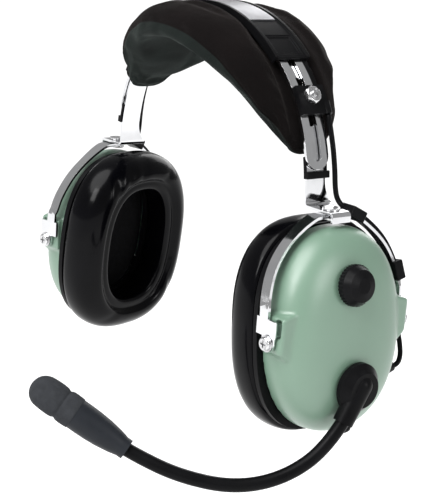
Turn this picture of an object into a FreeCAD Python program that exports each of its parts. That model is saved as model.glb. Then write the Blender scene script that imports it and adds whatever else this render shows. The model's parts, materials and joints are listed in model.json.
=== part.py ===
"""Passive aviation headset with a boom microphone, modelled as an assembly of separate pieces.

Units are millimetres.  +Z is up, the wearer faces -Y and the wearer's left ear is on +X.
The origin is the crown rest: the middle of the head pad's underside, where the headset
hangs on a head.  Three frames are used:
  band  - polar about the headband's centre, which is on the Z axis below the crown;
  ear   - origin at the middle of a cup's pivot axis, axes parallel to the main frame;
  cup   - the ear frame leaned about Y, X pointing out of the dome.
The left side (+X) is built and the right side is its mirror image, turned a little on its swivel.
"""
import FreeCAD
import Part
import Sketcher
import math
import os

V = FreeCAD.Vector
Rotation = FreeCAD.Rotation
Placement = FreeCAD.Placement
X_AXIS, Y_AXIS, Z_AXIS = V(1, 0, 0), V(0, 1, 0), V(0, 0, 1)

DIMENSIONS = {
    # headband, polar about its centre
    "band_centre_z": -65.5, "spring_in": 81.5, "spring_thick": 1.1, "spring_wide": 13.8,
    "spring_end": 9.3, "slot_wide": 4.6, "slot_low": 12.2, "slot_high": 52,
    "cover_in": 83.0, "cover_thick": 1.5, "cover_front": 10.2, "cover_rear": 11.4, "cover_end": 48.5,
    "cover_skirt": 80.6, "cover_wall": 1.0, "rail_high": 0.7, "rail_wide": 1.8, "rail_rear": 9.6,
    "recess_half": 8, "recess_low": 50, "recess_high": 59, "recess_ledge": 1.3, "recess_deep": 0.3,
    "plate_half": 8.0, "plate_low": 68, "plate_high": 98, "plate_thick": 0.6,
    # head pad
    "pad_top": 84.3, "pad_tip_top": 78.2, "pad_under": 65.5, "pad_half_wide": 40.5, "pad_end_low": 15,
    "pad_end_high": 155, "pad_tip_share": 0.26, "pad_droop": 8.5, "pad_flare": 4.5, "channel_floor": 78.4,
    "channel_front": 11.0, "channel_rear": 12.2,
    # sliding arm
    "arm_in": 79.7, "arm_thick": 1.3, "arm_wide": 11.5, "arm_top": 58, "arm_bend": 2.0,
    "arm_slot_low": 24, "arm_slot_high": 42, "tee_out": 99.3, "tee_under": -70.1, "lip_bend": 1.0,
    "lip_drop": 2.6, "gusset_wide": 6.5, "gusset_top": -57.3, "gusset_foot": 82.2, "gusset_end": 85.2,
    "block_low": 27.4, "block_high": 37.2, "block_half": 7.4, "block_rear": 9.6, "block_top": 85.8, "lock_angle": 33.3,
    "guide_high": 64, "guide_front": 7.3, "guide_rear": 9.9, "guide_in": 81.4, "guide_out": 82.7,
    "crown_low": 70,
    "collar_low": 6.5, "collar_high": 14, "collar_half": 6.9, "collar_in": 79.7, "collar_out": 83.2,
    "lock_nut_r": 4.6, "lock_nut_high": 3.2, "lock_shank_r": 1.9, "lock_head_r": 4.2, "lock_head_high": 0.7,
    "gland_y": 8.7, "block_gland_r": 2.0,
    # ear frame and stirrup
    "pivot_x": 104, "pivot_z": -125.3, "cup_lean": -5.5, "right_turn": 12,
    "pivot_y": 42.2, "strip_thick": 1.4, "crown_wide": 7.6, "strip_wide": 5.8, "rivet_in": 11.2,
    "strip_top": 54.0, "waist_out": 3.0, "waist_half": 8.5, "ear_in": 8.2, "ear_out": 4.3, "ear_low": 3, "ear_high": 11.2, "tongue_r": 4, "tab_in": 38.7, "tab_thick": 1.3,
    "screw_r": 1.6, "screw_hole_r": 1.65, "screw_head_r": 3.3, "screw_head_thick": 1.6,
    "screw_tip": 34.5, "washer_r": 4.0, "washer_thick": 0.5, "washer_y": 43.2, "head_y": 43.75,
    "rivet_r": 2.4, "rivet_hole_r": 2.45, "rivet_head_r": 4.2, "rivet_head_thick": 1.0,
    # cup
    "dome_high": 50.2, "dome_wide": 38.0, "dome_base": -9.8, "dome_peak": 14, "dome_wall": 2.4,
    "boss_face": 40.6, "boss_back": 7.5, "boss_front": 7.2, "boss_low": 4.5, "boss_high": 12.2,
    "boss_ramp": 10.5, "boss_round": 2.0, "pocket_in": 1.9, "pocket_out": 5.8, "pocket_low": 3.0, "pocket_high": 11.4,
    "pocket_floor": 37.3,
    "baffle_high": 50.5, "baffle_wide": 40.8, "baffle_thick": 3, "baffle_open_high": 35,
    "baffle_open_wide": 25.5,
    "seal_back": -13.0, "seal_face": -36, "seal_high": 53.2, "seal_wide": 42.2,
    "seal_hole_high": 33, "seal_hole_wide": 22.4,
    "foam_back": -3.6, "foam_front": -9.4, "foam_high": 38, "foam_wide": 28,
    "driver_y": 8, "driver_z": 4, "driver_r": 16, "driver_rim": 3, "driver_front": -3.4,
    "magnet_r": 9, "magnet_deep": 5, "basket_r": 12,
    "board_long": 18, "board_wide": 12, "board_thick": 1.6, "board_y": -16, "board_z": -8,
    # volume control, along its own axis
    "knob_y": -3, "knob_z": 24.6, "knob_r": 9.4, "knob_skirt_r": 9.9, "knob_high": 8.2,
    "knob_dome_r": 7.6, "knob_dome_high": 7.2, "knob_skirt_high": 3.4, "knob_gap": 0.9,
    "knob_hollow_r": 7.2, "knob_hollow_high": 3.6, "knob_grip_r": 0.55,
    "pot_r": 7.6, "pot_deep": 7, "bush_r": 3.4, "bush_high": 3.4, "shaft_r": 3.0,
    "shaft_hole_r": 3.05, "shaft_high": 6.2, "shaft_low": 5, "nut_r": 5.6, "nut_low": 0.9, "nut_high": 2.9,
    # boom hub, along its own axis
    "hub_z": -24.5, "hub_r": 12.2, "hub_low": 0.9, "hub_rim": 4.4, "hub_top": 7.4, "hub_top_r": 8.6,
    "hub_stub_r": 4.0, "hub_hole_r": 4.05, "hub_stub_deep": 8.2, "sleeve_r": 5.3, "sleeve_tip_r": 4.9,
    "hub_washer_r": 7.0, "hub_washer_high": -2.9, "hub_washer_low": -3.9, "hub_nut_r": 6.5,
    "hub_nut_high": -4.0, "hub_nut_low": -7.2,
    # boom and microphone
    "boom_r": 3.3, "mic_long": 53.2, "mic_neck_r": 4.9, "mic_neck_long": 2.6, "mic_socket": 2.1,
    "mic_low_r": 5.9, "mic_low_long": 7, "mic_mid_r": 6.8, "mic_mid_long": 13, "mic_high_r": 7.25,
    "mic_high_long": 19, "mic_taper_end": 24,
    "mic_r": 7.4, "mic_house_long": 29.2, "mic_bore_r": 5.4, "mic_bore_start": 14,
    "capsule_r": 5.2, "capsule_start": 24, "capsule_end": 32, "muff_start": 29.5, "muff_r": 7.9,
    "muff_groove": 36.3, "muff_groove_r": 7.0, "muff_round": 46.2, "muff_tip_r": 3.4, "muff_bore_r": 5.4,
    "muff_bore_end": 40,
    # cables and their fittings
    "cable_r": 1.3, "cup_gland_r": 3.3, "cup_gland_tip_r": 2.3, "cup_gland_y": 41.0,
    "cup_gland_z": -25.5, "cup_gland_root": 31, "cup_gland_bore": 39.2, "cord_y": 8, "cord_z": -47.5, "cord_gland_r": 4.6,
    "cord_bore_r": 3.0, "cord_gland_out": 5, "cord_gland_in": 4,
}

document = FreeCAD.newDocument("AviationHeadset")
sheet = document.addObject("Spreadsheet::Sheet", "Dims")
for row_number, (alias, number) in enumerate(DIMENSIONS.items(), start=1):
    sheet.set(f"A{row_number}", alias)
    sheet.set(f"B{row_number}", str(number))
    sheet.setAlias(f"B{row_number}", alias)
document.recompute()

SUB_PARTS = []


# ---------------------------------------------------------------- sheet values and expressions
def dim(alias):
    """The sheet's number for an alias."""
    return float(sheet.get(alias))


def value(sum_of_names):
    """The number for a sum such as 'knob_high - knob_gap'; a bare number is allowed too."""
    total, sign = 0.0, 1.0
    for word in sum_of_names.split():
        if word in "+-":
            sign = -1.0 if word == "-" else 1.0
        else:
            total += sign * (float(word) if word[0].isdigit() else dim(word))
            sign = 1.0
    return total


def bound(sum_of_names):
    """The same sum as an expression that reads the sheet."""
    words = [word if word in "+-" or word[0].isdigit() else "Dims." + word
             for word in sum_of_names.split()]
    return " ".join(words)


def less(first, second):
    """The sum for one sum taken away from another."""
    flip = {"+": "-", "-": "+"}
    return first + " - " + " ".join(flip.get(word, word) for word in second.split())


# ---------------------------------------------------------------- frames
EAR = Placement(V(dim("pivot_x"), 0, dim("pivot_z")), Rotation())
CUP = EAR.multiply(Placement(V(), Rotation(Y_AXIS, dim("cup_lean"))))
BAND_CENTRE = V(0, 0, dim("band_centre_z"))
RIVET = V(dim("pivot_x") - dim("rivet_in"), 0, 0)


def polar(radius, angle, y=0.0):
    """A point of the band frame: angle in degrees up from +X."""
    turn = math.radians(angle)
    return BAND_CENTRE + V(radius * math.cos(turn), y, radius * math.sin(turn))


def tangent_frame(radius, angle, y=0.0):
    """A frame on the band: Z outward, X up along the band, Y to the back of the head."""
    turn = math.radians(angle)
    outward = V(math.cos(turn), 0, math.sin(turn))
    upward = V(-math.sin(turn), 0, math.cos(turn))
    return Placement(polar(radius, angle, y), Rotation(upward, V(), outward, "ZXY"))


def superellipse_rise(radius_share, power):
    """Height share of a superellipse at a share of its radius."""
    return (1 - radius_share ** power) ** (1 / power)


DOME_POWER = 3.4
OUTLINE_POWER = 2.2
SEAL_POWER = 2.6
PAD_PLAN_POWER = 1.9
PAD_SECTION_POWER = 2.8


def dome_normal_frame(y, z):
    """A cup-frame placement on the dome's skin at (y, z): Z along the outward normal, X up."""
    share = math.hypot(z / dim("dome_high"), y / dim("dome_wide"))
    depth = dim("dome_peak") - dim("dome_base")
    skin_x = dim("dome_base") + depth * superellipse_rise(share, DOME_POWER)
    fall = depth * share ** (DOME_POWER - 1) * (1 - share ** DOME_POWER) ** (1 / DOME_POWER - 1)
    slope_z = fall * z / (dim("dome_high") ** 2 * share)
    outward = V(1, 0, slope_z)
    outward.normalize()
    upward = V(0, 0, 1) - outward * outward.z
    upward.normalize()
    return Placement(V(skin_x, y, z), Rotation(upward, V(), outward, "ZXY"))


# ---------------------------------------------------------------- document helpers
def sub_part(thing, label):
    """Names a finished sub-part; its label is its file's name."""
    thing.Label = label
    SUB_PARTS.append(thing)
    return thing


def feature(name, shape, placement=None):
    """A Part::Feature from a shape made with Part's own functions."""
    thing = document.addObject("Part::Feature", name)
    thing.Shape = shape
    if placement is not None:
        thing.Placement = placement
    return thing


def primitive(kind, name, placement=None, **sizes):
    """A Part primitive whose sizes are bound to the sheet."""
    thing = document.addObject(kind, name)
    if placement is not None:
        thing.Placement = placement
    for key, text in sizes.items():
        thing.setExpression(key, bound(text))
    return thing


def cut(name, base, tool):
    thing = document.addObject("Part::Cut", name)
    thing.Base, thing.Tool = base, tool
    return thing


def origin_plane(body, role):
    return [plane for plane in body.Origin.OriginFeatures if plane.Role == role][0]


def add_sketch(body, name, role="XZ_Plane"):
    sketch = body.newObject("Sketcher::SketchObject", name)
    sketch.AttachmentSupport = (origin_plane(body, role), [""])
    sketch.MapMode = "FlatFace"
    return sketch


def closed_outline(sketch, corners):
    """Straight-sided outline; each corner is a pair of sums of sheet names, bound by constraints."""
    points = [V(value(x), value(y), 0) for x, y in corners]
    count = len(points)
    for index in range(count):
        sketch.addGeometry(Part.LineSegment(points[index], points[(index + 1) % count]), False)
    for index in range(count):
        sketch.addConstraint(Sketcher.Constraint("Coincident", index, 2, (index + 1) % count, 1))
    for index, (x, y) in enumerate(corners):
        for kind, text, number, axis in (("DistanceX", x, points[index].x, -2),
                                         ("DistanceY", y, points[index].y, -1)):
            if abs(number) < 1e-9:
                sketch.addConstraint(Sketcher.Constraint("PointOnObject", index, 1, axis))
            else:
                place = sketch.addConstraint(Sketcher.Constraint(kind, -1, 1, index, 1, number))
                sketch.setExpression(f"Constraints[{place}]", bound(text))


def circle_in(sketch, radius):
    """A circle about the sketch's origin with its radius bound to the sheet."""
    place = sketch.addGeometry(Part.Circle(V(), Z_AXIS, value(radius)), False)
    sketch.addConstraint(Sketcher.Constraint("Coincident", place, 3, -1, 1))
    row = sketch.addConstraint(Sketcher.Constraint("Radius", place, value(radius)))
    sketch.setExpression(f"Constraints[{row}]", bound(radius))


def turned(name, corners, placement=None):
    """A body turned about its own Z axis; corners are (radius, height) pairs."""
    body = document.addObject("PartDesign::Body", name)
    sketch = add_sketch(body, name + "Profile")
    closed_outline(sketch, corners)
    spin = body.newObject("PartDesign::Revolution", name + "Turn")
    spin.Profile = sketch
    spin.ReferenceAxis = (sketch, ["V_Axis"])
    spin.Angle = 360
    if placement is not None:
        body.Placement = placement
    return body


def hexagon_body(name, across_corners, bore, low, high, placement):
    """A hexagon nut as a sketched pad with a round hole."""
    body = document.addObject("PartDesign::Body", name)
    sketch = add_sketch(body, name + "Outline", "XY_Plane")
    radius = value(across_corners)
    corners = [V(radius * math.cos(math.radians(60 * k)), radius * math.sin(math.radians(60 * k)), 0)
               for k in range(6)]
    for k in range(6):
        sketch.addGeometry(Part.LineSegment(corners[k], corners[(k + 1) % 6]), False)
        sketch.addConstraint(Sketcher.Constraint("Block", k))
    circle_in(sketch, bore)
    pad = body.newObject("PartDesign::Pad", name + "Pad")
    pad.Profile = sketch
    pad.setExpression("Length", bound(high + " - " + low))
    body.Placement = placement.multiply(Placement(V(0, 0, value(low)), Rotation()))
    return body


# ---------------------------------------------------------------- shape helpers
def band_sector(name, radius_in, radius_out, low, high, y_low, y_high):
    """A curved strip between two radii and two angles, as a cut of two sector cylinders."""
    pieces = []
    for suffix, radius in (("Outer", radius_out), ("Inner", radius_in)):
        sector = primitive("Part::Cylinder", name + suffix, Radius=radius, Height=less(y_high, y_low),
                           Angle=less(high, low))
        base = BAND_CENTRE + V(0, value(y_high), 0)
        sector.Placement = Placement(base, Rotation(X_AXIS, 90).multiply(Rotation(Z_AXIS, value(low))))
        pieces.append(sector)
    return cut(name, *pieces)


def sector_shape(radius_in, radius_out, low, high, y_low, y_high):
    """The same curved strip as a plain shape, for tools."""
    turn = Rotation(X_AXIS, 90).multiply(Rotation(Z_AXIS, low))
    outer = Part.makeCylinder(radius_out, y_high - y_low, V(), Z_AXIS, high - low)
    inner = Part.makeCylinder(radius_in, y_high - y_low, V(), Z_AXIS, high - low)
    strip = outer.cut(inner)
    strip.Placement = Placement(BAND_CENTRE + V(0, y_high, 0), turn)
    return strip


def slot_tool(low, high, wide, radius_in, radius_out):
    """A round-ended slot cutter that follows the band."""
    reach = math.degrees(wide / 2 / radius_out)
    tool = sector_shape(radius_in, radius_out, low + reach, high - reach, -wide / 2, wide / 2)
    for angle in (low + reach, high - reach):
        frame = tangent_frame(radius_in, angle)
        tip = Part.makeCylinder(wide / 2, radius_out - radius_in, V(), Z_AXIS)
        tip.Placement = frame
        tool = tool.fuse(tip)
    return tool


def superellipse_wire(x, half_wide, half_high, power, steps=40):
    """A closed smooth outline in the plane X = x."""
    points = []
    for step in range(steps):
        turn = 2 * math.pi * (step + 0.5) / steps
        c, s = math.cos(turn), math.sin(turn)
        points.append(V(x, math.copysign(half_wide * abs(c) ** (2 / power), c),
                        math.copysign(half_high * abs(s) ** (2 / power), s)))
    curve = Part.BSplineCurve()
    curve.interpolate(points, True)
    return Part.Wire([curve.toShape()])


def superellipse_plate(x_low, x_high, half_wide, half_high, power):
    face = Part.Face(superellipse_wire(x_low, half_wide, half_high, power))
    return face.extrude(V(x_high - x_low, 0, 0))


def dome_solid(inset):
    """The dome's outer skin, or its hollow when inset by the wall, as a loft of superellipses."""
    base, peak = dim("dome_base"), dim("dome_peak") - inset
    wide, high = dim("dome_wide") - inset, dim("dome_high") - inset
    wires = []
    for turn in (0, 8, 18, 30, 43, 56, 68, 78, 86):
        share = math.cos(math.radians(turn)) ** (2 / DOME_POWER)
        rise = math.sin(math.radians(turn)) ** (2 / DOME_POWER)
        wires.append(superellipse_wire(base + (peak - base) * rise, wide * share, high * share,
                                       OUTLINE_POWER))
    return Part.makeLoft(wires, True, False)


def rounded_path(points, label, report=True):
    """Straight runs joined by tangent arcs, each as large as its two runs allow."""
    edges, radii = [], []
    start = points[0]
    for before, corner, after in zip(points, points[1:], points[2:]):
        back, ahead = before - corner, after - corner
        half_turn = (math.pi - back.getAngle(ahead)) / 2
        reach = 0.45 * min(back.Length, ahead.Length)
        radii.append(reach / math.tan(half_turn))
        back.normalize()
        ahead.normalize()
        enter, leave = corner + back * reach, corner + ahead * reach
        middle_way = back + ahead
        middle_way.normalize()
        middle = corner + middle_way * (radii[-1] / math.cos(half_turn) - radii[-1])
        edges.append(Part.LineSegment(start, enter).toShape())
        edges.append(Part.Arc(enter, middle, leave).toShape())
        start = leave
    edges.append(Part.LineSegment(start, points[-1]).toShape())
    if report:
        print(f"{label}: bend radii", ", ".join(f"{radius:.1f}" for radius in radii))
    return Part.Wire(edges)


def tube(points, radius, label):
    """A round solid along a rounded path, with its volume compared with section times length."""
    path = rounded_path(points, label)
    section = Part.Wire([Part.makeCircle(radius, points[0], points[1] - points[0])])
    solid = Part.Solid(path.makePipeShell([section], True, False))
    wanted = math.pi * radius ** 2 * path.Length
    print(f"{label}: length {path.Length:.1f}, volume {solid.Volume / wanted:.4f} of section x length")
    return solid


def bent_strip(start, heading, steps, thickness, width):
    """Sheet metal bent in the XZ plane: steps are ('line', length) or ('arc', radius, turn)."""
    sides = {side: [] for side in (-1, 1)}
    point, angle = V(start), math.radians(heading)
    corners = {side: [] for side in sides}
    for step in steps:
        left = V(-math.sin(angle), 0, math.cos(angle))
        if step[0] == "line":
            end = point + V(math.cos(angle), 0, math.sin(angle)) * step[1]
            for side in sides:
                offset = left * (side * thickness / 2)
                sides[side].append(Part.LineSegment(point + offset, end + offset).toShape())
                corners[side] += [point + offset, end + offset]
            point = end
            continue
        radius, turn = step[1], math.radians(step[2])
        sign = 1 if turn > 0 else -1
        centre = point + left * (sign * radius)

        def rim(share, side):
            spoke = angle + turn * share
            return centre - V(-math.sin(spoke), 0, math.cos(spoke)) * (sign * radius - side * thickness / 2)
        for side in sides:
            arc = Part.Arc(rim(0, side), rim(0.5, side), rim(1, side))
            sides[side].append(arc.toShape())
            corners[side] += [rim(0, side), rim(1, side)]
        angle += turn
        point = centre - V(-math.sin(angle), 0, math.cos(angle)) * (sign * radius)
    ends = [Part.LineSegment(corners[-1][index], corners[1][index]).toShape() for index in (0, -1)]
    outline = Part.Wire(Part.__sortEdges__(sides[-1] + sides[1] + ends))
    face = Part.Face(outline)
    face.translate(V(0, -width / 2, 0))
    return face.extrude(V(0, width, 0))


def box_shape(low, high):
    return Part.makeBox(high.x - low.x, high.y - low.y, high.z - low.z, low)


def rod(radius, start, end):
    return Part.makeCylinder(radius, (end - start).Length, start, end - start)


def mirrored(shape):
    return shape.mirror(V(), X_AXIS)


def moved(shape, placement):
    """A rigidly moved copy."""
    copy = shape.copy()
    copy.Placement = placement.multiply(copy.Placement)
    return copy


def on_right(shape):
    """The right cup's copy of a left-hand shape: mirrored and turned on the right swivel."""
    swivel = Placement(V(-RIVET.x, 0, 0), Rotation(Z_AXIS, dim("right_turn")))
    back = Placement(V(RIVET.x, 0, 0), Rotation())
    return moved(mirrored(shape), swivel.multiply(back))


# ---------------------------------------------------------------- headband
def spring_shape():
    inner, outer = dim("spring_in"), dim("spring_in") + dim("spring_thick")
    half, end = dim("spring_wide") / 2, dim("spring_end")
    reach = math.degrees(half / inner)
    strip = sector_shape(inner, outer, end + reach, 180 - end - reach, -half, half)
    for angle in (end + reach, 180 - end - reach):
        tip = Part.makeCylinder(half, 12, V(0, 0, -6), Z_AXIS)
        tip.Placement = tangent_frame(inner, angle)
        ring = sector_shape(inner, outer, angle - reach, angle + reach, -half, half)
        strip = strip.fuse(ring.common(tip))
    for low, high in ((dim("slot_low"), dim("slot_high")),
                      (180 - dim("slot_high"), 180 - dim("slot_low"))):
        strip = strip.cut(slot_tool(low, high, dim("slot_wide"), inner - 1, outer + 1))
    return strip.removeSplitter()


def cover_shape():
    """The moulded cover: a curved roof with two rails, and walls that hold the cable and the band."""
    low, high = dim("cover_end"), 180 - dim("cover_end")
    front, rear, wall = -dim("cover_front"), dim("cover_rear"), dim("cover_wall")
    top = dim("cover_in") + dim("cover_thick")
    shape = sector_shape(dim("cover_in"), top, low, high, front, rear)
    for y_low, y_high in ((front, front + wall), (rear - wall, rear)):
        shape = shape.fuse(sector_shape(dim("cover_skirt"), dim("cover_in"), low, high, y_low, y_high))
    rail = dim("rail_wide")
    for y_low in (front, dim("rail_rear")):
        shape = shape.fuse(sector_shape(top, top + dim("rail_high"), low, high, y_low, y_low + rail))
    for inset, depth in ((0, dim("recess_deep")), (dim("recess_ledge"), 2 * dim("recess_deep"))):
        half, turn = dim("recess_half") - inset, math.degrees(inset / top)
        recess = sector_shape(top - depth, top + 1, dim("recess_low") + turn, dim("recess_high") - turn,
                              -half, half)
        shape = shape.cut(recess)
        shape = shape.cut(mirrored(recess))
    return shape.removeSplitter()


def pad_section(angle, share):
    """One rounded section of the head pad in the plane through the band's axis at an angle."""
    half, under = dim("pad_half_wide") * share, dim("pad_under")
    swell = max(0.0, (share - dim("pad_tip_share")) / (1 - dim("pad_tip_share"))) ** 0.7
    top = dim("pad_tip_top") + (dim("pad_top") - dim("pad_tip_top")) * swell
    under += (1 - swell) * 5.5
    middle, rise = (top + under) / 2, (top - under) / 2
    points = []
    steps = 28
    for step in range(steps):
        turn = 2 * math.pi * (step + 0.5) / steps
        across = math.copysign(abs(math.cos(turn)) ** (2 / PAD_SECTION_POWER), math.cos(turn))
        up = math.copysign(abs(math.sin(turn)) ** (2 / PAD_SECTION_POWER), math.sin(turn))
        droop = (dim("pad_droop") - dim("pad_flare") * up) * (half * across / dim("pad_half_wide")) ** 2
        points.append(polar(middle + rise * up - droop, angle, half * across))
    curve = Part.BSplineCurve()
    curve.interpolate(points, True)
    return Part.Wire([curve.toShape()])


def pad_shape():
    """The head pad: widest over the crown, a rounded tongue at each side, a channel for the band."""
    low, high = dim("pad_end_low"), dim("pad_end_high")
    middle, reach = (low + high) / 2, (high - low) / 2
    sections = []
    for place in (-1, -0.97, -0.9, -0.78, -0.6, -0.3, 0, 0.3, 0.6, 0.78, 0.9, 0.97, 1):
        share = max(dim("pad_tip_share"), superellipse_rise(abs(place), PAD_PLAN_POWER))
        sections.append(pad_section(middle + reach * place, share))
    pad = Part.makeLoft(sections, True, False)
    channel = sector_shape(dim("channel_floor"), dim("pad_top") + 6, low - 5, high + 5,
                           -dim("channel_front"), dim("channel_rear"))
    return pad.cut(channel)


def collar_shape():
    """The plastic collar at the end of the band: a channel, open inward, which the arm slides in."""
    half, low = dim("collar_half"), dim("collar_low")
    ring_high = dim("spring_end") - 0.4
    shape = sector_shape(dim("collar_in"), dim("collar_out"), low, ring_high, -half, half)
    for side in (-1, 1):
        y_low, y_high = sorted((side * (dim("arm_wide") / 2 + 0.35), side * half))
        shape = shape.fuse(sector_shape(dim("collar_in"), dim("spring_in") - 0.15, low,
                                        dim("collar_high"), y_low, y_high))
    opening = sector_shape(dim("arm_in") - 0.5, dim("arm_in") + dim("arm_thick") + 0.35, low - 2,
                           dim("collar_high") + 2, -dim("arm_wide") / 2 - 0.35, dim("arm_wide") / 2 + 0.35)
    return shape.cut(opening).removeSplitter()


def build_headband():
    spring = sub_part(feature("HeadbandSpring", spring_shape()), "headband_spring")
    sub_part(feature("HeadbandCover", cover_shape()), "headband_cover")
    plate = band_sector("CoverPlate", "cover_in + cover_thick + 0.02", "cover_in + cover_thick + plate_thick",
                        "plate_low", "plate_high", "0 - plate_half", "plate_half")
    sub_part(plate, "cover_plate")
    sub_part(feature("HeadPad", pad_shape()), "head_pad")
    crown = band_sector("CrossoverCrown", "spring_in - 0.2", "spring_in + 1.2", "crown_low", "180 - crown_low",
                        "guide_front + 0.4", "guide_rear - 0.4")
    sub_part(crown, "crossover_cable_crown")
    collar = collar_shape()
    sub_part(feature("CollarLeft", collar), "arm_collar_left")
    sub_part(feature("CollarRight", mirrored(collar)), "arm_collar_right")
    return spring


# ---------------------------------------------------------------- sliding arm
def arm_shape():
    """The arm: a slotted strip curved like the band, bent out into a shelf with a turned-down lip."""
    thick, width, bend = dim("arm_thick"), dim("arm_wide"), dim("arm_bend")
    middle = dim("arm_in") + thick / 2
    top = polar(middle, dim("arm_top"))
    shelf_z = dim("tee_under") + thick / 2
    straight = (dim("band_centre_z") - shelf_z) - bend
    shelf = dim("tee_out") - dim("lip_bend") - middle - bend
    route = [("arc", middle, -dim("arm_top")), ("line", straight), ("arc", bend, 90), ("line", shelf),
             ("arc", dim("lip_bend") + thick / 2, -90), ("line", dim("lip_drop"))]
    strip = bent_strip(top, dim("arm_top") - 90, route, thick, width)
    spread = dim("gusset_wide")
    wide = bent_strip(top, dim("arm_top") - 90, route, thick, width + 2 * spread)
    strip = strip.fuse(wide.common(gusset_space(width / 2, spread))).removeSplitter()
    slot = slot_tool(dim("arm_slot_low"), dim("arm_slot_high"), dim("slot_wide"),
                     dim("arm_in") - 1, dim("arm_in") + thick + 0.2)
    hole = rod(dim("rivet_hole_r"), RIVET + V(0, 0, dim("tee_under") - 2),
               RIVET + V(0, 0, dim("tee_under") + 4))
    return strip.cut(slot).cut(hole)


def gusset_space(edge, spread):
    """Where the arm's foot may spread: its back edge sweeps out on the way down, and in again on the shelf."""
    top, foot, low = dim("gusset_top"), dim("gusset_foot"), dim("tee_under") - 1
    drop = top - dim("tee_under")
    sweep = (drop ** 2 + spread ** 2) / (2 * spread)
    corners = [V(dim("arm_in") - 4, edge - 1, low), V(dim("gusset_end") + 1, edge - 1, low),
               V(dim("gusset_end"), edge, low), V(foot, edge + spread, low),
               V(dim("arm_in") - 4, edge + spread, low)]
    space = Part.Face(Part.makePolygon(corners + [corners[0]])).extrude(V(0, 0, top - low))
    return space.cut(Part.makeCylinder(sweep, 20, V(dim("arm_in") - 6, edge + sweep, top), X_AXIS))


def block_shape():
    """The plastic clamp block on the outside of the band, with its cable gland at the back edge."""
    low, high, half = dim("block_low"), dim("block_high"), dim("block_half")
    inner = dim("spring_in") + dim("spring_thick") + 0.35
    body = sector_shape(inner, dim("block_top"), low, high, -half, dim("block_rear"))
    screw = rod(dim("screw_r") + 0.45, polar(inner - 2, dim("lock_angle")),
                polar(dim("block_top") + 2, dim("lock_angle")))
    return body.cut(screw)


def build_lock(frame_angle):
    """Lock screw and nut through the slots, in a frame whose Z points out of the band."""
    inner = dim("arm_in") - dim("lock_head_high") - 0.2
    nut_low = dim("block_top") + 0.05 - inner
    nut_radius, nut_high, shank_radius = dim("lock_nut_r"), dim("lock_nut_high"), dim("lock_shank_r")
    reach = nut_low + nut_high + 1.4
    frame = tangent_frame(inner, frame_angle)
    shank = Part.makeCylinder(shank_radius, reach, V(), Z_AXIS)
    head = Part.makeCylinder(dim("lock_head_r"), dim("lock_head_high"), V(), Z_AXIS)
    slit = Part.makeBox(5.0, 0.8, 1.2, V(-2.5, -0.4, reach - 0.8))
    screw = shank.fuse(head).cut(slit)
    screw.Placement = frame
    corners = [V(nut_radius * math.cos(math.radians(60 * k)), nut_radius * math.sin(math.radians(60 * k)),
                 nut_low) for k in range(7)]
    hexagon = Part.Face(Part.makePolygon(corners)).extrude(V(0, 0, nut_high))
    chamfer = Part.makeCone(nut_radius + 1.6, nut_radius - 0.9, nut_high, V(0, 0, nut_low), Z_AXIS)
    bore = Part.makeCylinder(shank_radius + 0.05, nut_high + 2, V(0, 0, nut_low - 1))
    nut = hexagon.common(chamfer).cut(bore)
    nut.Placement = frame
    return screw, nut


CABLE_JOIN = 16.4


def arm_cable_points(side_turn):
    """The cable's route from the clamp block's gland to the stirrup, on the back edge of the arm."""
    gland = dim("gland_y")
    route = [polar(85.0, 27.2, gland), polar(84.6, 19, gland), polar(84.4, 10, gland + 0.3),
             polar(84.4, 2.5, gland + 0.8), V(86.2, gland + 1.1, -66.5), V(89.8, gland + 1.9, -69.2)]
    return route + [turned_about_rivet(point, side_turn) for point in (on_strip(12.8), on_strip(CABLE_JOIN))]


def turned_about_rivet(point, side_turn):
    """A point of the main frame carried round the swivel."""
    return RIVET + Rotation(Z_AXIS, -side_turn).multVec(point - RIVET)


def build_arm(side):
    """All pieces that slide with one arm; side is 'left' or 'right'."""
    flip = mirrored if side == "right" else Part.Shape.copy
    turn = dim("right_turn") if side == "right" else 0.0
    screw, nut = build_lock(dim("lock_angle"))
    guide = sector_shape(dim("guide_in"), dim("guide_out"), dim("block_high") + 0.05, dim("guide_high"),
                         dim("guide_front"), dim("guide_rear"))
    gland = rod(dim("block_gland_r"), polar(85.0, 27.2, dim("gland_y")), polar(85.2, 31.4, dim("gland_y")))
    cable = tube(arm_cable_points(turn), dim("cable_r"), "arm cable " + side)
    block = block_shape().fuse(gland).cut(cable).removeSplitter()
    shank = rod(dim("rivet_r"), RIVET + V(0, 0, dim("tee_under") - 3.2),
                RIVET + V(0, 0, dim("tee_under") + dim("arm_thick") + 1.0))
    heads = [rod(dim("rivet_head_r"), RIVET + V(0, 0, low), RIVET + V(0, 0, low + dim("rivet_head_thick")))
             for low in (dim("tee_under") - 3.2, dim("tee_under") + dim("arm_thick") + 0.05)]
    rivet = shank.multiFuse(heads).removeSplitter()
    pieces = {"slide_arm": arm_shape(), "clamp_block": block, "lock_screw": screw, "lock_nut": nut,
              "cable_guide": guide, "crossover_cable_arm": cable, "swivel_rivet": rivet}
    for name, shape in pieces.items():
        title = name.title().replace("_", "") + side.title()
        sub_part(feature(title, flip(shape)), f"{name}_{side}")


# ---------------------------------------------------------------- stirrup
STRIP_POINTS = ((8.5, -11.2, 54.0), (14.0, -10.9, 52.4), (18.0, -10.7, 50.2), (22.3, -10.3, 47.3),
                (26.6, -9.8, 44.0), (31.2, -9.0, 39.6), (35.0, -8.1, 34.8), (37.9, -7.1, 29.6),
                (40.2, -5.8, 23.6), (41.6, -4.6, 17.6), (42.2, -3.6, 11.2))
STRIP_STEPS = 24


def strip_curve():
    """The centre line of the stirrup's back arm in the ear frame, from the flat crown to the lug."""
    curve = Part.BSplineCurve()
    curve.interpolate(Points=[V(x, y, z) for y, x, z in STRIP_POINTS], InitialTangent=V(0, 1, 0),
                      FinalTangent=V(0, 0, -1))
    return curve


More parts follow.
